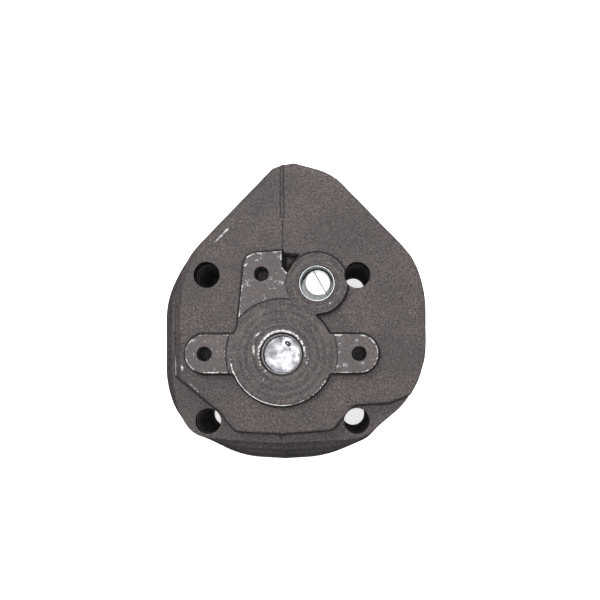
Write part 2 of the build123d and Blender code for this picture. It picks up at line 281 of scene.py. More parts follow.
def outline_gap(r):
    """How far a place lies outside whatever stands on the plate; negative on top of it."""
    gap = r.math("SUBTRACT", r.radius(inlet_axis), boss_radius)
    side_gap = r.math("SUBTRACT", r.radius(delivery_axis), side_boss_radius)
    gap = r.math("MINIMUM", gap, side_gap)
    for hole, side in ((left_hole, -1.0), (right_hole, 1.0)):
        x, y, z = r.split(r.shift(hole))
        beyond = r.math("MAXIMUM", r.math("MULTIPLY", x, side), 0.0)
        reach = r.math("SUBTRACT", r.hypotenuse(beyond, y), lug_radius)
        past = r.math("MULTIPLY", r.math("ADD", x, hole[0] - inlet_axis[0]), -side)
        gap = r.math("MINIMUM", gap, r.math("MAXIMUM", reach, past))
    x, y, z = r.split()

    def beyond_edges(numbers, join):
        joined = None
        for a, b in [top_lug_outline[i:i + 2] for i in numbers]:
            out = Vector((b[1] - a[1], a[0] - b[0])).normalized()
            beyond = r.math("ADD", r.math("MULTIPLY", x, out.x), r.math("MULTIPLY", y, out.y))
            beyond = r.math("SUBTRACT", beyond, out.dot(Vector(a)))
            joined = beyond if joined is None else r.math(join, joined, beyond)
        return joined

    lug_gap = r.math(
        "MAXIMUM", beyond_edges(top_lug_round_edges, "MAXIMUM"),
        beyond_edges(top_lug_hollow_edges, "MINIMUM"),
    )
    low_end = r.math("SUBTRACT", 0.0060, y)
    return r.math("MINIMUM", gap, r.math("MAXIMUM", lug_gap, low_end))


# Places on the port face that rub when the head lies in a box of parts: centre, half sizes, turn,
# and how much is rubbed bright.
rubbed_places = [
    ((-0.0206, 0.0392), (0.0120, 0.0011), 0.80, 0.56),
    ((-0.0240, 0.0385), (0.0060, 0.0008), 0.80, 0.46),
    ((-0.0372, -0.0060), (0.0010, 0.0110), 0.03, 0.58),
    ((-0.0345, -0.0068), (0.0016, 0.0030), 0.2, 0.56),
    ((-0.0300, -0.0022), (0.0009, 0.0032), 0.1, 0.50),
    ((-0.0265, 0.0022), (0.0030, 0.0008), 0.1, 0.50),
    ((-0.0238, -0.0048), (0.0022, 0.0008), -0.8, 0.46),
    ((-0.0085, 0.0300), (0.0045, 0.0012), 0.1, 0.44),
    ((-0.0105, 0.0240), (0.0010, 0.0040), 0.1, 0.44),
    ((-0.0358, 0.0220), (0.0012, 0.0080), -0.1, 0.34),
    ((-0.0300, -0.0140), (0.0090, 0.0010), -0.78, 0.46),
    ((0.0100, 0.0612), (0.0100, 0.0010), -0.25, 0.40),
    ((0.0170, 0.0555), (0.0090, 0.0026), -0.12, 0.32),
    ((0.0300, 0.0165), (0.0150, 0.0040), 0.20, 0.24),
    ((0.0440, 0.0290), (0.0030, 0.0090), 0.60, 0.30),
    ((-0.0126, -0.0316), (0.0060, 0.0016), -0.1, 0.40),
    ((0.0160, -0.0235), (0.0080, 0.0022), 0.1, 0.30),
]

# Painted shade lines beside the flash of the parting seam: place across the head, and the span along it
seam_shade_lines = [
    (-0.00065, 0.0445, 0.0800),
    (0.00060, 0.0445, 0.0800),
    (0.00017, 0.0325, 0.0445),
]


def cast_iron(name, rubbed_all_over):
    """Blasted cast skin: warm dark grey, salt and pepper grain, silver where it rubs, with painted shade at
    the feet of walls, in hollows, beside the parting seam and over the fins.
    """
    r = Recipe(name, 0.15)
    x, y, z = r.split()
    fine = r.noise(0.00038, 2.0, 0.6)
    grit = r.noise(0.00070, 2.0, 0.7)
    coarse = r.noise(0.0024, 3.0, 0.6)
    patches = r.noise(0.017, 3.0, 0.55)
    grain = r.math("ADD", r.math("MULTIPLY", grit, 0.60), r.math("MULTIPLY", fine, 0.40))
    color = r.mix(r.ramp(grain, 0.34, 0.66), (0.013, 0.0096, 0.0090), (0.122, 0.098, 0.094))
    color = r.mix(r.ramp(coarse, 0.44, 0.72, 0.0, 0.30), color, (0.120, 0.098, 0.094))
    color = r.mix(r.ramp(patches, 0.34, 0.66, 0.0, 0.42), color, (0.030, 0.024, 0.024))
    sparkle = r.ramp(r.noise(0.00060, 1.0, 0.5), 0.69, 0.76, 0.0, 0.45)
    color = r.mix(sparkle, color, (0.33, 0.31, 0.30))

    gap = outline_gap(r)
    low_down = r.ramp(z, plate_face + 0.0009, plate_face + 0.0014, 1.0, 0.0)
    on_top = r.ramp(z, lug_face - 0.0004, lug_face - 0.0001)
    near_top = r.ramp(z, lug_face - 0.0009, lug_face - 0.0004)
    scuff = r.noise(0.0016, 4.0, 0.75)
    streaks = r.noise(0.0012, 3.0, 0.7, r.shift((0, 0), 0.2, (4.0, 0.7, 1.0)))
    broken = r.math("ADD", r.math("MULTIPLY", scuff, 0.6), r.math("MULTIPLY", streaks, 0.4))
    rub = r.math("MULTIPLY", r.attribute("edge_wear"), 0.40)
    above_fins = r.ramp(z, collar_underside + 0.0002, collar_underside + 0.0008)
    for centre, size, turn, amount in rubbed_places:
        rub = r.math("MAXIMUM", rub, r.times(r.spot(centre, size, turn), above_fins, amount))
    rim = r.ramp(r.math("ABSOLUTE", r.math("ADD", gap, 0.00025)), 0.0001, 0.0008, 1.0, 0.0)
    chips = r.ramp(r.noise(0.0040, 3.0, 0.7), 0.36, 0.62, 0.26, 0.56)
    rub = r.math("MAXIMUM", rub, r.times(rim, near_top, chips))
    worn = r.ramp(r.noise(0.0024, 4.0, 0.75), 0.46, 0.66, 0.24, 0.445)
    rub = r.math("MAXIMUM", rub, r.times(on_top, worn))
    rub = r.math("MAXIMUM", rub, rubbed_all_over)
    bright = r.ramp(r.math("ADD", rub, broken), 0.90, 1.06)
    color = r.mix(r.math("MULTIPLY", on_top, 0.30), color, (0.150, 0.130, 0.128))
    silver = r.mix(r.ramp(fine, 0.3, 0.7), (0.26, 0.245, 0.25), (0.80, 0.78, 0.79))
    color = r.mix(r.math("MULTIPLY", bright, 0.92), color, silver)

    # Painted shade: a near-black line at the foot of every boss and lug, and darkening in the hollows that
    # mark_edges finds.
    foot = r.times(r.ramp(gap, 0.00044, 0.00084, 0.98, 0.0), low_down, above_fins)
    hollow = r.ramp(r.attribute("foot_shade"), 0.05, 0.34, 0.0, 0.94)
    # Painted shade over the fins below the plate, darker towards the bottom and lighter where the iron is
    # rubbed bright.
    lower_shade = r.ramp(z, collar_underside - 0.012, collar_underside + 0.0010, 0.60, 0.0)
    lower_shade = r.times(lower_shade, r.ramp(bright, 0.0, 1.0, 1.0, 0.3))
    dark = r.math("MAXIMUM", r.math("MAXIMUM", foot, hollow), lower_shade)
    drift = r.math("MULTIPLY", r.math("SUBTRACT", r.noise(0.010, 2.0), 0.5), 0.0010)
    across = r.math("SUBTRACT", x, drift)
    broken_line = r.ramp(scuff, 0.34, 0.52, 0.30, 1.0)
    fade = 0.0006
    # Painted shade at the foot of the seam's flash, broken up along its length.
    for line_at, from_y, to_y in seam_shade_lines:
        off = r.math("ABSOLUTE", r.math("SUBTRACT", across, line_at))
        begun = r.ramp(y, from_y, from_y + fade)
        not_over = r.ramp(y, to_y - fade, to_y, 1.0, 0.0)
        thin = r.ramp(off, 0.00010, 0.00034, 0.90, 0.0)
        dark = r.math("MAXIMUM", dark, r.times(thin, begun, not_over, broken_line, low_down))
    # All the painted shade gathered above darkens the colour here.
    color = r.mix(dark, color, (0.0030, 0.0026, 0.0026))
    normal = r.bump(coarse, 0.00030, 0.5)
    normal = r.bump(grit, 0.00030, 0.8, normal)
    normal = r.bump(fine, 0.00012, 0.8, normal)
    return r.finish(color, r.ramp(bright, 0.0, 1.0, 0.66, 0.42), normal)


cast_skin = cast_iron("cast_skin", 0.0)

cad_copy = bmesh.new()
cad_copy.from_mesh(nodes["head_casting"].data)
bmesh.ops.remove_doubles(cad_copy, verts=cad_copy.verts, dist=2e-6)


def outlines_at(height):
    """Closed outlines of the casting cut through at this height."""
    slice_mesh = cad_copy.copy()
    made = bmesh.ops.bisect_plane(
        slice_mesh, geom=slice_mesh.verts[:] + slice_mesh.edges[:] + slice_mesh.faces[:],
        plane_co=(0, 0, height), plane_no=(0, 0, 1), clear_outer=True, clear_inner=True,
    )
    beside = {}
    for e in [g for g in made["geom_cut"] if isinstance(g, bmesh.types.BMEdge)]:
        a, b = e.verts
        beside.setdefault(a, []).append(b)
        beside.setdefault(b, []).append(a)
    loops = []
    seen = set()
    for start in sorted(beside, key=lambda v: (len(beside[v]), v.co.x, v.co.y)):
        if start in seen:
            continue
        loop = [start]
        seen.add(start)
        onward = [v for v in beside[start] if v not in seen]
        while onward:
            seen.add(onward[0])
            loop.append(onward[0])
            onward = [v for v in beside[loop[-1]] if v not in seen]
        if len(loop) > 5:
            loops.append([(v.co.x, v.co.y) for v in loop])
    slice_mesh.free()
    return loops


def area_of(loop):
    return 0.5 * sum(a[0] * b[1] - b[0] * a[1] for a, b in zip(loop, loop[1:] + loop[:1]))


def largest(loops):
    loop = max(loops, key=lambda points: abs(area_of(points)))
    return loop if area_of(loop) > 0 else loop[::-1]


def add_prism(target, outline, low, high):
    """A closed prism on a counter-clockwise outline."""
    bottom = [target.verts.new((x, y, low)) for x, y in outline]
    top = [target.verts.new((x, y, high)) for x, y in outline]
    for i in range(len(outline)):
        j = (i + 1) % len(outline)
        target.faces.new((bottom[i], bottom[j], top[j], top[i]))
    target.faces.new(top)
    target.faces.new(bottom[::-1])


def circle(centre, radius, count=96):
    angles = [tau * i / count for i in range(count)]
    return [(centre[0] + radius * cos(a), centre[1] + radius * sin(a)) for a in angles]


def lug_outline(hole, radius, towards):
    """D-shaped lug: round about its hole, straight sides in to the boss."""
    side = 1.0 if hole[0] > towards[0] else -1.0
    tip = [
        (hole[0] + side * radius * cos(a), hole[1] + radius * sin(a))
        for a in [pi / 2 - pi * i / 24 for i in range(25)]
    ]
    points = [(towards[0], hole[1] + radius)] + tip + [(towards[0], hole[1] - radius)]
    return points if area_of(points) > 0 else points[::-1]


def as_object(shape, name):
    """Makes a finished shape an object of its own in the scene."""
    mesh = bpy.data.meshes.new(name)
    shape.to_mesh(mesh)
    shape.free()
    obj = bpy.data.objects.new(name, mesh)
    bpy.context.scene.collection.objects.link(obj)
    return obj


skim = 0.0004
sunk = 0.001
layer = 0.00034
blank = bmesh.new()
for number in range(round((plate_face - plate_underside) / layer)):
    low = plate_underside + number * layer
    add_prism(blank, largest(outlines_at(low + 0.6 * layer)), low - 0.2 * layer, low + layer)
add_prism(blank, largest(outlines_at(collar_underside + 0.0005)), collar_underside, plate_underside)
boss_foot = plate_face - sunk
add_prism(blank, circle(inlet_axis, boss_radius), boss_foot, boss_face + skim)
add_prism(blank, circle(delivery_axis, side_boss_radius), boss_foot, side_boss_face + skim)
add_prism(blank, lug_outline(left_hole, lug_radius, inlet_axis), boss_foot, lug_face)
add_prism(blank, lug_outline(right_hole, lug_radius, inlet_axis), boss_foot, lug_face)
add_prism(blank, top_lug_outline, boss_foot, lug_face)

upper = as_object(blank, "upper_casting")


def baked(obj):
    """Turns the object's live modifiers into a plain mesh."""
    depsgraph = bpy.context.evaluated_depsgraph_get()
    depsgraph.update()
    mesh = bpy.data.meshes.new_from_object(obj.evaluated_get(depsgraph))
    old = obj.data
    obj.modifiers.clear()
    obj.data = mesh
    mesh.name = obj.name
    if old.users == 0:
        bpy.data.meshes.remove(old)
    return obj


melt = upper.modifiers.new("melt", "REMESH")
melt.mode = "VOXEL"
melt.voxel_size = 0.00030
ease = upper.modifiers.new("ease", "SMOOTH")
ease.factor = 0.5
ease.iterations = 6
baked(upper)


def vertex_places(mesh):
    flat = np.empty(len(mesh.vertices) * 3)
    mesh.vertices.foreach_get("co", flat)
    return flat.reshape(-1, 3)


def vertex_normals(mesh):
    flat = np.empty(len(mesh.vertices) * 3, np.float32)
    mesh.vertex_normals.foreach_get("vector", flat)
    return flat.reshape(-1, 3).astype(float)


def ripple(places, size, seed):
    """Smooth value noise in about -1..1, the same each run."""
    rng = np.random.default_rng(seed)
    total = np.zeros(len(places))
    for turn in range(7):
        direction = rng.normal(size=3)
        direction /= np.linalg.norm(direction)
        phase = places @ direction * tau / (size * rng.uniform(0.7, 1.5)) + rng.uniform(0, tau)
        total += np.sin(phase)
    return total / 4.0


def smooth_step(value, low, high):
    t = np.clip((value - low) / (high - low), 0, 1)
    return t * t * (3 - 2 * t)


def inside_distance(points, corners):
    """How far each point lies inside a clockwise convex outline; negative outside."""
    distance = np.full(len(points), 1.0)
    for a, b in zip(corners, corners[1:] + corners[:1]):
        edge = np.array(b) - np.array(a)
        inward = np.array([edge[1], -edge[0]]) / np.linalg.norm(edge)
        distance = np.minimum(distance, (points[:, :2] - np.array(a)) @ inward)
    return distance


def plate_gap(at):
    """How far each point lies outside whatever stands on the plate, worked out for the mesh."""
    gap = np.hypot(at[:, 0] - inlet_axis[0], at[:, 1] - inlet_axis[1]) - boss_radius
    side_gap = np.hypot(at[:, 0] - delivery_axis[0], at[:, 1] - delivery_axis[1]) - side_boss_radius
    gap = np.minimum(gap, side_gap)
    for hole, side in ((left_hole, -1.0), (right_hole, 1.0)):
        beyond = np.maximum((at[:, 0] - hole[0]) * side, 0)
        reach = np.hypot(beyond, at[:, 1] - hole[1]) - lug_radius
        past = -side * (at[:, 0] - inlet_axis[0])
        gap = np.minimum(gap, np.maximum(reach, past))

    def beyond_edges(numbers):
        beyond = []
        for a, b in [top_lug_outline[i:i + 2] for i in numbers]:
            out = np.array([b[1] - a[1], a[0] - b[0]]) / np.hypot(b[0] - a[0], b[1] - a[1])
            beyond.append((at[:, :2] - np.array(a)) @ out)
        return beyond

    round_side = np.maximum.reduce(beyond_edges(top_lug_round_edges))
    hollow_side = np.minimum.reduce(beyond_edges(top_lug_hollow_edges))
    return np.minimum(gap, np.maximum.reduce([round_side, hollow_side, 0.0060 - at[:, 1]]))


# The skin is never quite flat, the mould's parting line stands up as a thin uneven fin, and a small
# pocket is left between the top lug, the parting line and the side boss.
places = vertex_places(upper.data)
normals = vertex_normals(upper.data)
lumps = 0.000045 * ripple(places, 0.009, 3) + 0.000025 * ripple(places, 0.0028, 4)
places += normals * (lumps - 0.00006)[:, None]
line_x = 0.00012 * ripple(places * [0, 1, 0.3], 0.013, 7)
off_line = np.abs(places[:, 0] - line_x)
uneven = 0.75 + 0.45 * ripple(places * [0, 1, 1], 0.0035, 9)
flash = 0.00032 * (1 - smooth_step(off_line, 0.0001, 0.00045)) * uneven
on_plate = places[:, 2] < plate_face + 0.0004
places[:, 2] += np.where(on_plate & (normals[:, 2] > 0.6), flash, 0)
places[:, 1] += np.where(on_plate & (normals[:, 1] > 0.5), flash, 0)
places[:, 1] -= np.where(on_plate & (normals[:, 1] < -0.5), flash, 0)
pocket_corners = [
    (0.0003, 0.0331), (0.0066, 0.0325), (0.0050, 0.0304), (0.0028, 0.0272), (0.0020, 0.0264),
    (0.0003, 0.0276),
]
pocket = 0.0024 * smooth_step(inside_distance(places, pocket_corners), -0.0001, 0.0011)
places[:, 2] -= np.where((normals[:, 2] > 0.3) & on_plate, pocket, 0)
groove = 0.00028 * (1 - smooth_step(np.abs(plate_gap(places) - 0.0003), 0.0002, 0.0005))
places[:, 2] -= np.where((normals[:, 2] > 0.3) & on_plate, groove, 0)
places[:, 2] = np.minimum(places[:, 2], lug_face)
places[:, :2] = np.clip(places[:, :2], cad_box[0][:2], cad_box[1][:2])
upper.data.vertices.foreach_set("co", places.ravel())
upper.data.update()

thin = upper.modifiers.new("thin", "DECIMATE")
thin.ratio = min(1.0, 165000.0 / (2 * len(upper.data.polygons)))
baked(upper)


def mark_edges(obj, reach, foot_reach):
    """Stores how much each vertex stands out on a convex edge, for edge wear, and how much it lies in a
    hollow, for painted shade.
    """
    mesh = obj.data
    at = vertex_places(mesh)
    out = vertex_normals(mesh)
    pairs = np.empty(len(mesh.edges) * 2, np.int64)
    mesh.edges.foreach_get("vertices", pairs)
    pairs = pairs.reshape(-1, 2)
    span = at[pairs[:, 1]] - at[pairs[:, 0]]
    length = np.maximum(np.linalg.norm(span, axis=1), 1e-9)
    bend_a = -(span * out[pairs[:, 0]]).sum(1) / length
    bend_b = (span * out[pairs[:, 1]]).sum(1) / length
    total = np.zeros(len(at))
    count = np.zeros(len(at))
    np.add.at(total, pairs[:, 0], bend_a)
    np.add.at(total, pairs[:, 1], bend_b)
    np.add.at(count, pairs[:, 0], 1)
    np.add.at(count, pairs[:, 1], 1)
    count = np.maximum(count, 1)
    bend = total / count
    for turn in range(3):
        spread = np.zeros(len(at))
        np.add.at(spread, pairs[:, 0], bend[pairs[:, 1]])
        np.add.at(spread, pairs[:, 1], bend[pairs[:, 0]])
        bend = 0.5 * bend + 0.5 * spread / count
    wear = np.clip(bend / reach, 0, 1)
    shade = np.clip(-bend / foot_reach, 0, 1)
    for name, values in (("edge_wear", wear), ("foot_shade", shade)):
        stored = mesh.attributes.new(name, "FLOAT", "POINT")
        stored.data.foreach_set("value", values.astype(np.float32))


mark_edges(upper, 0.22, 0.25)
upper.data.materials.append(cast_skin)


def turned_cutter(name, axis, profile, material, count=128):
    """A cutter turned about an upright axis from a closed (radius, height) profile."""
    shape = bmesh.new()
    rings = []
    for radius, height in profile:
        if radius == 0:
            rings.append([shape.verts.new((axis[0], axis[1], height))])
        else:
            rings.append([shape.verts.new((x, y, height)) for x, y in circle(axis, radius, count)])
    for a, b in zip(rings, rings[1:]):
        for i in range(count):
            j = (i + 1) % count
            corners = [a[i % len(a)], a[j % len(a)], b[j % len(b)], b[i % len(b)]]
            corners = [v for k, v in enumerate(corners) if v not in corners[:k]]
            shape.faces.new(corners)
    bmesh.ops.recalc_face_normals(shape, faces=shape.faces)
    cutter = as_object(shape, name)
    cutter.data.materials.append(material)
    return cutter


def cut(body, cutter):
    """Machines the cutter's shape out of the body; the new faces take the cutter's finish."""
    tool = body.modifiers.new("cut", "BOOLEAN")
    tool.operation = "DIFFERENCE"
    tool.solver = "EXACT"
    tool.material_mode = "TRANSFER"
    tool.object = cutter
    baked(body)
    bpy.data.objects.remove(cutter)


sky = casting_high.z + 0.002
below = collar_underside - 0.002

# ----------------------------------------------------------------
# The two machined faces on the upper casting: each boss is faced off on the lathe, which leaves
# fine rings, and the inlet's face is scored by the ring gasket and the fittings screwed into it.
spotface_radius = 0.0193
inlet_bore = 0.0072
delivery_bore = 0.00615
mouth_chamfer = 0.00025
facing_depth = 0.0012


def turned_iron(name, centre, boss, step, mouth, worn_rims, scored_rings, marks, mouth_scuff):
    """Iron faced off on a lathe: rings round centre, with worn rims and scored places, and painted shade at
    the step and the bore's mouth.
    """
    r = Recipe(name, 0.15)
    radius = r.radius(centre)
    fine = r.noise(0.00045, 2.0, 0.6)
    grit = r.noise(0.00085, 2.0, 0.7)
    patches = r.noise(0.006, 3.0, 0.5)
    around = r.noise(0.0022, 3.0, 0.6)
    wobble = r.math("ADD", radius, r.math("MULTIPLY", patches, 0.00030))
    rings = r.math("SINE", r.math("MULTIPLY", wobble, tau / 0.00072))
    slow = r.math("SINE", r.math("MULTIPLY", wobble, tau / 0.0026))
    band = r.math("ADD", r.math("MULTIPLY", rings, 0.5), r.math("MULTIPLY", slow, 0.5))
    grain = r.math("ADD", r.math("MULTIPLY", grit, 0.5), r.math("MULTIPLY", fine, 0.5))
    color = r.mix(r.ramp(grain, 0.35, 0.65), (0.014, 0.0110, 0.0105), (0.132, 0.107, 0.102))
    color = r.mix(r.ramp(band, -0.9, 0.6, 0.72, 0.0), color, (0.016, 0.013, 0.012))
    color = r.mix(r.ramp(patches, 0.5, 0.75, 0.0, 0.35), color, (0.150, 0.126, 0.120))
    scuff = r.noise(0.0010, 4.0, 0.75)

    rub = r.math("MULTIPLY", r.spot(centre, (boss, boss)), 0.04)
    for angle, amount in worn_rims:
        lean = r.ramp(r.lean(centre, angle), 0.25 * boss, 0.85 * boss)
        rim = r.ramp(radius, boss - 0.0010, boss - 0.0001, 0.0, amount)
        rim = r.times(rim, r.ramp(radius, boss, boss + 0.0003, 1.0, 0.0))
        rub = r.math("MAXIMUM", rub, r.times(rim, lean))
    for place, size, turn, amount in marks:
        rub = r.math("MAXIMUM", rub, r.math("MULTIPLY", r.spot(place, size, turn), amount))
    for angle, amount in mouth_scuff:
        lean = r.ramp(r.lean(centre, angle), -0.1 * mouth, 0.7 * mouth)
        off_ring = r.math("ABSOLUTE", r.math("SUBTRACT", radius, mouth + 0.0008))
        ring = r.ramp(off_ring, 0.0002, 0.0009, amount, 0.0)
        rub = r.math("MAXIMUM", rub, r.times(ring, lean))
    bright = r.ramp(r.math("ADD", rub, scuff), 0.90, 1.06)
    silver = r.mix(r.ramp(fine, 0.3, 0.7), (0.36, 0.345, 0.35), (0.92, 0.90, 0.91))
    color = r.mix(r.math("MULTIPLY", bright, 0.9), color, silver)

    # Painted shade: a near-black ring beyond the step where the facing meets the cast skin, and another on
    # the bore's mouth chamfer.
    dark = r.ramp(radius, step - 0.0001, step + 0.0002, 0.0, 0.96)
    dark = r.math("MAXIMUM", dark, r.ramp(radius, mouth + 0.00020, mouth + 0.00038, 0.97, 0.0))
    for ring_radius, amount in scored_rings:
        off_ring = r.math("ABSOLUTE", r.math("SUBTRACT", wobble, ring_radius))
        score = r.ramp(off_ring, 0.00005, 0.00026, amount, 0.0)
        dark = r.math("MAXIMUM", dark, r.times(score, r.ramp(around, 0.38, 0.60, 0.25, 1.0)))
    color = r.mix(dark, color, (0.0035, 0.0030, 0.0030))
    normal = r.bump(rings, 0.000045, 0.6)
    normal = r.bump(grit, 0.00016, 0.7, normal)
    return r.finish(color, r.ramp(fine, 0.3, 0.7, 0.50, 0.64), normal)


inlet_facing = turned_iron(
    "inlet_facing", inlet_axis, boss_radius, spotface_radius - 0.00035, inlet_bore,
    [(235, 0.62), (290, 0.46), (200, 0.34), (20, 0.22)],
    [(0.0100, 0.55), (0.0113, 0.60), (0.0131, 0.50), (0.0148, 0.42), (0.0166, 0.30)],
    [
        ((-0.0096, -0.0005), (0.0011, 0.0045), 0.05, 0.62),
        ((-0.0082, 0.0050), (0.0042, 0.0012), 0.80, 0.56),
        ((0.0088, -0.0045), (0.0010, 0.0050), -0.35, 0.44),
        ((0.0030, 0.0085), (0.0070, 0.0010), -0.25, 0.36),
        ((-0.0065, -0.0110), (0.0060, 0.0012), 0.80, 0.40),
        ((-0.0110, -0.0085), (0.0030, 0.0020), -0.90, 0.34),
    ],
    [(120, 0.54), (60, 0.48), (175, 0.42), (-15, 0.30)],
)
delivery_facing = turned_iron(
    "delivery_facing", delivery_axis, side_boss_radius, side_boss_radius + 0.0001, delivery_bore - 0.00005,
    [(60, 0.34), (150, 0.32), (300, 0.26)],
    [(0.0076, 0.35), (0.0089, 0.30)],
    [((0.0165, 0.0155), (0.0020, 0.0012), 0.8, 0.48), ((0.0075, 0.0290), (0.0020, 0.0015), 0.8, 0.36)],
    [(90, 0.30)],
)
cut(upper, turned_cutter("inlet_facing_tool", inlet_axis, [
    (0, sky), (spotface_radius, sky), (spotface_radius, boss_face),
    (inlet_bore + mouth_chamfer, boss_face), (inlet_bore, boss_face - mouth_chamfer),
    (inlet_bore, boss_face - facing_depth), (0, boss_face - facing_depth),
], inlet_facing))
side_cutter = side_boss_radius + 0.0003
cut(upper, turned_cutter("delivery_facing_tool", delivery_axis, [
    (0, sky), (side_cutter, sky), (side_cutter, side_boss_face),
    (delivery_bore + mouth_chamfer, side_boss_face), (delivery_bore, side_boss_face - mouth_chamfer),
    (delivery_bore, side_boss_face - facing_depth), (0, side_boss_face - facing_depth),
], delivery_facing))

# ----------------------------------------------------------------
# The drilled and bored holes of the upper casting: the two valve bores, the four stud holes right
# through and the three tapped lug holes. Bare iron, painted near black for the shade inside the holes,
# ringed by the drill with painted highlight on the rings.
valve_bore = 0.0100
bush_low, bush_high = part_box("inlet_seat_bush")
bush_shoulder = bush_low.z + 0.0015
stud_radius = mounts["stud_holes"]["dims"]["hole_r_mm"] / 1000
spacing_x = mounts["stud_holes"]["dims"]["spacing_x_mm"] / 1000
spacing_y = mounts["stud_holes"]["dims"]["spacing_y_mm"] / 1000
stud_axes = [(sx * spacing_x / 2, sy * spacing_y / 2) for sx in (-1, 1) for sy in (-1, 1)]
lug_crest = mounts["left_lug_thread"]["dims"]["r_mm"] / 1000
lug_root = lug_crest + 0.00026
lug_pitch = 0.0008
lug_depth = 0.0088


def drilled_iron(name):
    """Drilled walls: painted near black for the shade in the holes, ringed by the drill with painted
    highlight on the rings.
    """
    r = Recipe(name, 0.4)
    x, y, z = r.split()
    fine = r.noise(0.0005, 2.0, 0.6)
    uneven = r.math("ADD", z, r.math("MULTIPLY", r.noise(0.005, 2.0), 0.0010))
    drill_rings = r.math("SINE", r.math("MULTIPLY", uneven, tau / 0.0011))
    # Painted highlight: the lit bands on the drill rings; both colours are near black as painted shade.
    lit = r.math("MULTIPLY", r.ramp(drill_rings, 0.2, 1.0), r.ramp(fine, 0.3, 0.7, 0.3, 1.0))
    color = r.mix(lit, (0.0040, 0.0034, 0.0034), (0.040, 0.034, 0.033))
    normal = r.bump(drill_rings, 0.00006, 0.6)
    return r.finish(color, r.ramp(fine, 0.3, 0.7, 0.42, 0.6), normal)


drilled_wall = drilled_iron("drilled_wall")
cut(upper, turned_cutter("inlet_drill", inlet_axis, [
    (0, boss_face - 0.0008), (inlet_bore, boss_face - 0.0008), (inlet_bore, bush_shoulder),
    (valve_bore, bush_shoulder), (valve_bore, below), (0, below),
], drilled_wall))
cut(upper, turned_cutter("delivery_drill", delivery_axis, [
    (0, side_boss_face - 0.0006), (delivery_bore, side_boss_face - 0.0006), (delivery_bore, below),
    (0, below),
], drilled_wall))
for number, axis in enumerate(stud_axes):
    profile = [(0, sky), (stud_radius, sky), (stud_radius, below), (0, below)]
    cut(upper, turned_cutter(f"stud_drill_{number}", axis, profile, drilled_wall, 64))
for number, axis in enumerate((left_hole, right_hole, top_hole)):
    profile = [
        (0, sky), (lug_root + 0.0003, sky), (lug_root + 0.0003, lug_face), (lug_root, lug_face - 0.0003),
        (lug_root, lug_face - lug_depth), (0, lug_face - lug_depth - 0.0008),
    ]
    cut(upper, turned_cutter(f"lug_drill_{number}", axis, profile, drilled_wall, 48))


def smooth_faces(obj, sharp_above):
    """Smooth shading, but for edges that turn more than this angle."""
    obj.data.polygons.foreach_set("use_smooth", np.ones(len(obj.data.polygons), bool))
    obj.data.set_sharp_from_angle(angle=sharp_above)
    return obj


smooth_faces(upper, 0.6)
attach(upper, "head")
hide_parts("head_casting")

# ----------------------------------------------------------------
# Lower casting: the core, the cooling fins and the gasket flange, one piece with the plate above.
# The same cast iron; the fin edges are rounded as they leave the sand and rub bright on the bench.
rubbed_edge = cast_iron("rubbed_edge", 0.30)
tuck = 0.0006
fin_round = 0.0006
core_reach = 0.0295
neck_end = 0.045
bmesh.ops.bisect_plane(
    cad_copy, geom=cad_copy.verts[:] + cad_copy.edges[:] + cad_copy.faces[:],
    plane_co=(0, 0, collar_underside + tuck), plane_no=(0, 0, 1), clear_outer=True,
)
open_rim = [e for e in cad_copy.edges if len(e.link_faces) == 1]
bmesh.ops.triangle_fill(cad_copy, edges=open_rim, use_beauty=True)
bmesh.ops.dissolve_limit(
    cad_copy, angle_limit=0.01, verts=cad_copy.verts[:], edges=cad_copy.edges[:], delimit={"NORMAL"},
)
weight = cad_copy.edges.layers.float.new("bevel_weight_edge")
for e in cad_copy.edges:
    middle = (e.verts[0].co + e.verts[1].co) / 2
    flat = abs(e.verts[0].co.z - e.verts[1].co.z) < 1e-6
    outside = any(abs(f.normal.z) < 0.1 and f.normal.xy.dot(middle.xy) > 0 for f in e.link_faces)
    corner = len(e.link_faces) == 2 and e.calc_face_angle(0.0) > 1.2 and e.is_convex
    away = middle.xy.length > core_reach or middle.y > neck_end
    near_stud = min((middle.xy - Vector(a)).length for a in stud_axes) < stud_radius + 0.0003
    low_enough = middle.z < collar_underside - 0.0001
    if flat and outside and corner and away and not near_stud and low_enough:
        e[weight] = 1.0
lower = as_object(cad_copy, "finned_casting")
lower.data.materials.clear()
lower.data.materials.append(cast_skin)
lower.data.materials.append(rubbed_edge)
soften = lower.modifiers.new("soften", "BEVEL")
soften.limit_method = "WEIGHT"
soften.width = fin_round
soften.segments = 3
soften.material = 1
soften.use_clamp_overlap = False
baked(lower)
smooth_faces(lower, 0.6)
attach(lower, "head")
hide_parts("head_casting")

# ----------------------------------------------------------------
# Threads in the three lug holes, cut with a tap. Each is a helical ridge of the casting's iron that
# runs down the wall, wound from a trapezoid section.


def turned_steel(name, centre, dark, light, metallic=0.9, rough=(0.28, 0.42), ring=0.00035):
    """Steel turned or ground on a lathe: faint rings round centre and a soft mottle."""
    r = Recipe(name, metallic)
    fine = r.noise(0.0006, 3.0, 0.6)
    rings = r.math("SINE", r.math("MULTIPLY", r.radius(centre), tau / ring))
    color = r.mix(r.ramp(fine, 0.3, 0.7), dark, light)
    normal = r.bump(rings, 0.00001, 0.4)
    normal = r.bump(fine, 0.00004, 0.4, normal)
    return r.finish(color, r.ramp(fine, 0.3, 0.7, *rough), normal)


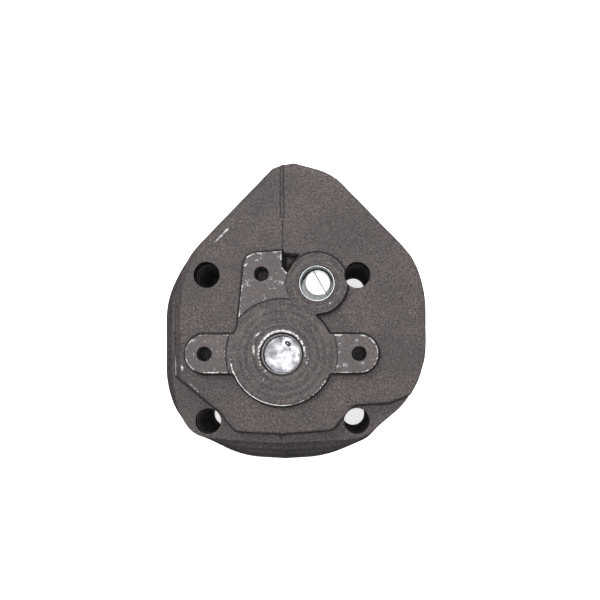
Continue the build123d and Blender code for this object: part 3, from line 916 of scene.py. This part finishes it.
def thread_tree():
    """Winds a thread ridge: a trapezoid section swept along a spiral, then given its finish."""
    tree = bpy.data.node_groups.new("thread_ridge", "GeometryNodeTree")
    tree.interface.new_socket("Geometry", in_out="INPUT", socket_type="NodeSocketGeometry")
    names = ("Centre X", "Centre Y", "Bottom", "Root Radius", "Crest Radius", "Pitch", "Turns")
    for name in names:
        tree.interface.new_socket(name, in_out="INPUT", socket_type="NodeSocketFloat")
    tree.interface.new_socket("Finish", in_out="INPUT", socket_type="NodeSocketMaterial")
    tree.interface.new_socket("Geometry", in_out="OUTPUT", socket_type="NodeSocketGeometry")
    given = tree.nodes.new("NodeGroupInput").outputs
    result = tree.nodes.new("NodeGroupOutput")

    def filled(node, *values):
        for value, socket in zip(values, node.inputs):
            if isinstance(value, bpy.types.NodeSocket):
                tree.links.new(value, socket)
            else:
                socket.default_value = value
        return node.outputs[0]

    def reckon(operation, a, b):
        node = tree.nodes.new("ShaderNodeMath")
        node.operation = operation
        return filled(node, a, b)

    def point(x, y, z=0.0):
        return filled(tree.nodes.new("ShaderNodeCombineXYZ"), x, y, z)

    path = tree.nodes.new("GeometryNodeCurveSpiral")
    path.inputs["Resolution"].default_value = 48
    path.inputs["Reverse"].default_value = False
    tree.links.new(given["Turns"], path.inputs["Rotations"])
    tree.links.new(given["Root Radius"], path.inputs["Start Radius"])
    tree.links.new(given["Root Radius"], path.inputs["End Radius"])
    tree.links.new(reckon("MULTIPLY", given["Pitch"], given["Turns"]), path.inputs["Height"])
    upright = tree.nodes.new("GeometryNodeSetCurveNormal")
    upright.mode = "Z_UP"
    tree.links.new(path.outputs["Curve"], upright.inputs["Curve"])

    section = tree.nodes.new("GeometryNodeCurvePrimitiveQuadrilateral")
    section.mode = "POINTS"
    deep = reckon("SUBTRACT", given["Crest Radius"], given["Root Radius"])
    into_wall = 0.00004
    foot, crest = 0.42, 0.09
    corners = ((into_wall, foot), (deep, crest), (deep, -crest), (into_wall, -foot))
    for number, (depth, share) in enumerate(corners):
        corner = point(depth, reckon("MULTIPLY", given["Pitch"], share))
        tree.links.new(corner, section.inputs[f"Point {number + 1}"])
    sweep = tree.nodes.new("GeometryNodeCurveToMesh")
    sweep.inputs["Fill Caps"].default_value = True
    tree.links.new(upright.outputs["Curve"], sweep.inputs["Curve"])
    tree.links.new(section.outputs["Curve"], sweep.inputs["Profile Curve"])
    place = tree.nodes.new("GeometryNodeTransform")
    tree.links.new(sweep.outputs["Mesh"], place.inputs["Geometry"])
    tree.links.new(point(given["Centre X"], given["Centre Y"], given["Bottom"]), place.inputs["Translation"])
    whole = tree.nodes.new("GeometryNodeRealizeInstances")
    tree.links.new(place.outputs["Geometry"], whole.inputs["Geometry"])
    coated = tree.nodes.new("GeometryNodeSetMaterial")
    tree.links.new(whole.outputs["Geometry"], coated.inputs["Geometry"])
    tree.links.new(given["Finish"], coated.inputs["Material"])
    tree.links.new(coated.outputs["Geometry"], result.inputs[0])
    return tree


thread_ridge = thread_tree()


def wound_thread(name, axis, bottom, root, crest, pitch, turns, finish):
    """One thread ridge as a plain mesh in its own object."""
    mesh = bpy.data.meshes.new(name)
    obj = bpy.data.objects.new(name, mesh)
    bpy.context.scene.collection.objects.link(obj)
    winder = obj.modifiers.new("winder", "NODES")
    winder.node_group = thread_ridge
    sizes = {
        "Centre X": axis[0], "Centre Y": axis[1], "Bottom": bottom, "Root Radius": root,
        "Crest Radius": crest, "Pitch": pitch, "Turns": turns, "Finish": finish,
    }
    for item in thread_ridge.interface.items_tree:
        if item.in_out == "INPUT" and item.name in sizes:
            winder[item.identifier] = sizes[item.name]
    baked(obj)
    tidy = bmesh.new()
    tidy.from_mesh(obj.data)
    bmesh.ops.remove_doubles(tidy, verts=tidy.verts, dist=1e-7)
    bmesh.ops.recalc_face_normals(tidy, faces=tidy.faces)
    if tidy.calc_volume(signed=True) < 0:
        bmesh.ops.reverse_faces(tidy, faces=tidy.faces)
    tidy.to_mesh(obj.data)
    tidy.free()
    return obj


for side, axis in (("left", left_hole), ("right", right_hole), ("top", top_hole)):
    ridge = wound_thread(
        f"{side}_lug_thread", axis, lug_face - lug_depth + 0.0006, lug_root, lug_crest, lug_pitch, 9.0,
        drilled_wall,
    )
    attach(ridge, "head")
    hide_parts("head_casting")

# ----------------------------------------------------------------
# Inlet seat bush: a thin turned steel ring pressed in from below, its flange against the shoulder,
# with the inlet fitting's thread cut inside and the disc's seat on its underside.
bush_top = bush_high.z
bush_bottom = bush_low.z
bush_outer = inlet_bore - 0.00018
bush_crest = mounts["inlet_thread"]["dims"]["r_mm"] / 1000
bush_root = bush_crest + 0.00040
bush_pitch = 0.00125
flange_radius = valve_bore - 0.00008


def turned_body(name, axis, profile, count=128):
    """A closed ring turned about an upright axis from a (radius, height) section."""
    shape = bmesh.new()
    rings = [[shape.verts.new((x, y, h)) for x, y in circle(axis, radius, count)] for radius, h in profile]
    for a, b in zip(rings, rings[1:] + rings[:1]):
        for i in range(count):
            j = (i + 1) % count
            shape.faces.new((a[i], a[j], b[j], b[i]))
    bmesh.ops.recalc_face_normals(shape, faces=shape.faces)
    if shape.calc_volume(signed=True) < 0:
        bmesh.ops.reverse_faces(shape, faces=shape.faces)
    return smooth_faces(as_object(shape, name), 0.5)


bush_steel = turned_steel(
    "bush_steel", inlet_axis, (0.050, 0.047, 0.048), (0.19, 0.18, 0.185), metallic=0.5, rough=(0.34, 0.5),
)
inlet_bush = turned_body("inlet_bush_body", inlet_axis, [
    (bush_outer, bush_top - 0.00012), (bush_outer - 0.00012, bush_top), (bush_crest + 0.00020, bush_top),
    (bush_crest + 0.00003, bush_top - 0.00017), (bush_crest + 0.00003, bush_top - 0.00040),
    (bush_root, bush_top - 0.00075), (bush_root, bush_bottom + 0.0016),
    (bush_crest + 0.00003, bush_bottom + 0.0012), (bush_crest + 0.00003, bush_bottom + 0.0003),
    (bush_crest + 0.00030, bush_bottom), (flange_radius - 0.0002, bush_bottom),
    (flange_radius, bush_bottom + 0.0002), (flange_radius, bush_shoulder - 0.0002),
    (flange_radius - 0.0002, bush_shoulder), (bush_outer, bush_shoulder),
])
inlet_bush.data.materials.append(bush_steel)
inlet_ridge = wound_thread(
    "inlet_bush_thread", inlet_axis, bush_bottom + 0.0021, bush_root, bush_crest, bush_pitch, 3.0, bush_steel,
)
for piece in (inlet_bush, inlet_ridge):
    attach(piece, "head")
    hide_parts("inlet_seat_bush")

# ----------------------------------------------------------------
# Inlet valve disc: a thin lapped steel disc that lies against the bush's underside. Its face is
# bright and mottled, with painted reflection darkening one side, painted shade in the small hole
# near its rim and a painted glint inside that hole.
def beside(centre, x, y):
    return (centre[0] + x / 1000, centre[1] + y / 1000)


r = Recipe("lapped_steel", 0.35)
cloud = r.noise(0.0030, 4.0, 0.62)
fine = r.noise(0.00055, 3.0, 0.65)
color = r.mix(r.ramp(cloud, 0.36, 0.66), (0.38, 0.38, 0.42), (0.84, 0.83, 0.86))
color = r.mix(r.ramp(fine, 0.50, 0.72, 0.0, 0.30), color, (0.42, 0.42, 0.46))
# Darker patches: the first four, wide at the left and narrow near the top, are painted reflection of the
# turned face; the near-black fifth is painted shade in the small hole; the thin streaks and small spots are
# marks on the steel.
for place, size, turn, core, amount, reflection_shade_and_marks in (
    ((-4.2, 0.8), (3.6, 5.0), 0.25, 0.0, 0.52, (0.20, 0.20, 0.235)),
    ((-2.6, 3.6), (3.2, 2.0), 0.6, 0.0, 0.40, (0.22, 0.22, 0.25)),
    ((-0.7, 5.2), (0.9, 2.0), 0.35, 0.2, 0.61, (0.14, 0.14, 0.16)),
    ((0.9, 4.4), (0.9, 1.4), -0.5, 0.0, 0.32, (0.30, 0.30, 0.34)),
    ((1.8, 3.9), (1.35, 0.95), -0.55, 0.72, 0.985, (0.004, 0.005, 0.010)),
    ((2.5, 2.0), (0.42, 0.35), 0.0, 0.3, 0.54, (0.10, 0.10, 0.13)),
    ((-3.9, 1.9), (0.85, 0.16), -0.7, 0.2, 0.54, (0.10, 0.10, 0.13)),
    ((-3.3, 0.5), (0.60, 0.14), -1.0, 0.2, 0.47, (0.12, 0.12, 0.15)),
    ((0.2, -2.9), (0.90, 0.18), 0.0, 0.0, 0.40, (0.20, 0.20, 0.24)),
    ((-1.6, 2.6), (0.35, 0.50), 0.3, 0.0, 0.32, (0.20, 0.20, 0.24)),
):
    spread = r.spot(beside(inlet_axis, *place), (size[0] / 1000, size[1] / 1000), turn, core)
    ragged = r.ramp(r.math("ADD", spread, r.math("MULTIPLY", fine, 0.5)), 0.45, 0.95)
    color = r.mix(r.math("MULTIPLY", ragged, amount), color, reflection_shade_and_marks)
# A painted glint inside the small hole.
hole_glint = r.spot(beside(inlet_axis, 1.6, 4.0), (0.00028, 0.00028), 0.0, 0.4)
color = r.mix(hole_glint, color, (0.55, 0.55, 0.60))
normal = r.bump(fine, 0.00003, 0.4)
lapped_steel = r.finish(color, r.ramp(cloud, 0.35, 0.65, 0.50, 0.34), normal)


def wound_spring(name, node_name, wire, turns, finish):
    """A coil of round wire in the place of the plain one; returns it with its lower and upper end."""
    low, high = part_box(node_name)
    middle = (low + high) / 2
    coil_radius = (high.x - low.x - wire) / 2
    per_turn = 48
    steps = per_turn * turns
    shape = bmesh.new()
    rings = []
    for step in range(steps + 1):
        angle = tau * step / per_turn
        height = low.z + wire / 2 + (high.z - low.z - wire) * step / steps
        section = circle((coil_radius, height), wire / 2, 12)
        rings.append([
            shape.verts.new((middle.x + out * cos(angle), middle.y + out * sin(angle), up))
            for out, up in section
        ])
    for a, b in zip(rings, rings[1:]):
        for i in range(len(a)):
            j = (i + 1) % len(a)
            shape.faces.new((a[i], a[j], b[j], b[i]))
    shape.faces.new(rings[0][::-1])
    shape.faces.new(rings[-1])
    bmesh.ops.recalc_face_normals(shape, faces=shape.faces)
    coil = smooth_faces(as_object(shape, name), 0.9)
    coil.data.materials.append(finish)
    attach(coil, "head")
    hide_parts(node_name)
    return coil, low, high


cage_steel = turned_steel("cage_steel", inlet_axis, (0.30, 0.30, 0.31), (0.50, 0.50, 0.50))
inlet_wire = turned_steel("inlet_wire", inlet_axis, (0.35, 0.35, 0.37), (0.60, 0.60, 0.62))
ring_strip = turned_steel("ring_strip", inlet_axis, (0.07, 0.07, 0.08), (0.20, 0.20, 0.22))
inlet_wire_size = 0.0008
spring_turns = 4
coil, low, high = wound_spring(
    "inlet_spring_wire", "inlet_valve_spring", inlet_wire_size, spring_turns, inlet_wire,
)
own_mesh(coil)

# ----------------------------------------------------------------
# Delivery port bush: a steel sleeve fixed in the side port with the delivery union's fine thread.
# Zinc plated and blue-grey, with a painted highlight round its mouth.
port_low, port_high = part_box("delivery_port_bush")
port_top = port_high.z
port_bottom = port_low.z
port_outer = delivery_bore - 0.00003
port_crest = mounts["delivery_thread"]["dims"]["r_mm"] / 1000
port_root = port_crest + 0.00038
port_pitch = 0.0010
port_turns = 3.4
port_relief = port_crest + 0.00026
thread_end = port_top - 0.0046

r = Recipe("plated_sleeve", 0.55)
x, y, z = r.split()
fine = r.noise(0.0006, 3.0, 0.6)
color = r.mix(r.ramp(fine, 0.3, 0.7), (0.17, 0.195, 0.20), (0.34, 0.37, 0.38))
# Painted highlight: the top of the mouth is painted bright.
mouth = r.ramp(z, port_top - 0.00014, port_top - 0.00002)
color = r.mix(r.times(mouth, r.ramp(fine, 0.3, 0.6, 0.5, 1.0)), color, (0.62, 0.64, 0.65))
normal = r.bump(fine, 0.00004, 0.4)
plated_sleeve = r.finish(color, r.ramp(fine, 0.3, 0.7, 0.28, 0.42), normal)

port_bush = turned_body("delivery_bush_body", delivery_axis, [
    (port_outer, port_top - 0.00010), (port_outer - 0.00006, port_top), (port_root + 0.00006, port_top),
    (port_crest + 0.00003, port_top - 0.00042), (port_crest + 0.00003, port_top - 0.00055),
    (port_root, port_top - 0.00085), (port_root, thread_end + 0.0002),
    (port_relief, thread_end), (port_relief, port_bottom), (port_outer, port_bottom),
])
port_bush.data.materials.append(plated_sleeve)
port_ridge = wound_thread(
    "delivery_bush_thread", delivery_axis, thread_end + 0.0005, port_root, port_crest, port_pitch, port_turns,
    plated_sleeve,
)
for piece in (port_bush, port_ridge):
    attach(piece, "head")
    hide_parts("delivery_port_bush")

# ----------------------------------------------------------------
# Stop screw: a slotted steel screw, zinc plated, screwed into the middle of the seat to stop the
# valve plate. Its head is painted near white as a highlight, and painted shade runs along both edges
# of the slot, heavier on the side where the driver has raised a burr.
screw_low, screw_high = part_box("delivery_stop_screw")
screw_axis = ((screw_low.x + screw_high.x) / 2, (screw_low.y + screw_high.y) / 2)
slot_turn = -60.0
slot_half = 0.00075

r = Recipe("zinc_with_painted_highlight", 0.12)
across = r.lean(screw_axis, slot_turn + 90.0)
along = r.lean(screw_axis, slot_turn)
fine = r.noise(0.0008, 3.0, 0.6)
# The near-white colour is a painted highlight.
color = r.mix(r.ramp(fine, 0.3, 0.7), (0.93, 0.94, 0.95), (0.99, 0.99, 0.99))
# Painted shade: dark lines along both edges of the slot, heavier on the burr's side.
for offset, width, amount in ((slot_half, 0.00022, 0.88), (-slot_half, 0.00014, 0.42)):
    beside_slot = r.math("ABSOLUTE", r.math("SUBTRACT", across, offset))
    color = r.mix(r.ramp(beside_slot, 0.3 * width, width, amount, 0.0), color, (0.09, 0.095, 0.10))
notch = r.spot(beside(screw_axis, -0.95, 3.45), (0.0007, 0.0003), -1.0, 0.2)
color = r.mix(r.math("MULTIPLY", notch, 0.6), color, (0.12, 0.13, 0.14))
rings = r.math("SINE", r.math("MULTIPLY", r.radius(screw_axis), tau / 0.0004))
normal = r.bump(rings, 0.000008, 0.3)
zinc_with_painted_highlight = r.finish(color, r.ramp(fine, 0.3, 0.7, 0.26, 0.36), normal)

# ----------------------------------------------------------------
# The rest of the delivery valve under the screw's head: the ported seat on its copper washer, the
# ground plate that lifts off it and the light spring that brings it back.
seat_steel = turned_steel("seat_steel", delivery_axis, (0.30, 0.30, 0.31), (0.50, 0.50, 0.50))
soft_copper = turned_steel("soft_copper", delivery_axis, (0.62, 0.30, 0.19), (0.80, 0.45, 0.30))
plate_steel = turned_steel("plate_steel", screw_axis, (0.55, 0.55, 0.57), (0.80, 0.80, 0.80))
delivery_wire = turned_steel("delivery_wire", screw_axis, (0.35, 0.35, 0.37), (0.60, 0.60, 0.62))
delivery_wire_size = 0.0006
coil, low, high = wound_spring(
    "delivery_spring_wire", "delivery_valve_spring", delivery_wire_size, spring_turns, delivery_wire,
)
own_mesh(coil)
for node_name, finish in (
    ("inlet_valve_disc", lapped_steel), ("inlet_valve_cage", cage_steel),
    ("cage_snap_ring", ring_strip), ("delivery_seat", seat_steel),
    ("delivery_seat_washer", soft_copper), ("delivery_valve_plate", plate_steel),
    ("delivery_stop_screw", zinc_with_painted_highlight),
):
    nodes[node_name].data.materials.clear()
    nodes[node_name].data.materials.append(finish)
